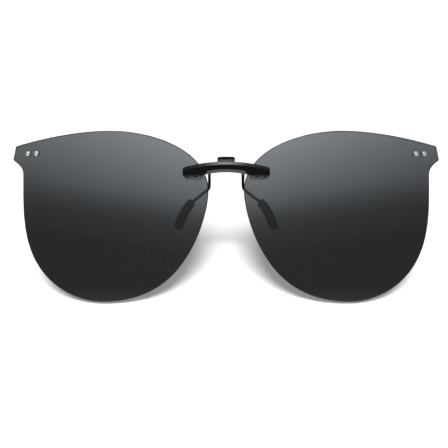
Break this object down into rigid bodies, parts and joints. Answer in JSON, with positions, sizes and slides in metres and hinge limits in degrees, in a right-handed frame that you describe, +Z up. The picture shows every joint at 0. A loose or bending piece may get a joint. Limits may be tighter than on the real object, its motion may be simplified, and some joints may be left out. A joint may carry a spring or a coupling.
{
  "type": "clip-on sunglasses",
  "caption": "Rimless tinted sunglass clip with a bridge bar, a sprung pinch lever and rubber-sleeved wire arms that grip spectacle lenses from behind.",
  "frame": {"origin": "middle of the flat seat on the back of the bridge bar, which rests on the front of the spectacles' bridge", "axes": "+X towards the wearer's left, +Y back towards the wearer, +Z up; the lenses face -Y"},
  "size_m": [0.1454, 0.0098, 0.0582],
  "materials": {
    "lens_tint": "polished tinted polycarbonate, grey at the top and nearly black below",
    "black_plastic": "satin moulded",
    "black_wire": "black coated spring wire",
    "sleeve_rubber": "matte",
    "silver_metal": "polished",
    "pin_steel": "turned",
    "screw_steel": "turned",
    "spring_steel": "drawn wire",
    "smoke_nylon": "translucent smoke grey"
  },
  "bodies": {
    "root": {"bridge_bar": "black_plastic", "hinge_pin": "pin_steel", "torsion_spring": "spring_steel", "lens_right": "lens_tint", "lens_left": "lens_tint", "temple_rivet_right_1": "silver_metal", "temple_rivet_right_2": "silver_metal", "temple_rivet_left_1": "silver_metal", "temple_rivet_left_2": "silver_metal", "rivet_cap_right_1": "silver_metal", "rivet_cap_right_2": "silver_metal", "rivet_cap_left_1": "silver_metal", "rivet_cap_left_2": "silver_metal", "lens_screw_right_1": "screw_steel", "lens_screw_right_2": "screw_steel", "lens_screw_left_1": "screw_steel", "lens_screw_left_2": "screw_steel", "backing_plate_right": "smoke_nylon", "backing_plate_left": "smoke_nylon"},
    "lever": {"clamp_lever": "black_plastic", "wire_arm_right": "black_wire", "wire_arm_left": "black_wire", "rubber_sleeve_right": "sleeve_rubber", "rubber_sleeve_left": "sleeve_rubber"}
  },
  "joints": [
    {"name": "lever_hinge", "type": "hinge", "parent": "root", "child": "lever", "pos_m": [0, 0.00165, 0.00155], "axis": [1, 0, 0], "range_deg": [0, 36], "stiffness_Nm_per_rad": 0.013, "springref_deg": -68.75, "deforming": ["torsion_spring"]}
  ]
}
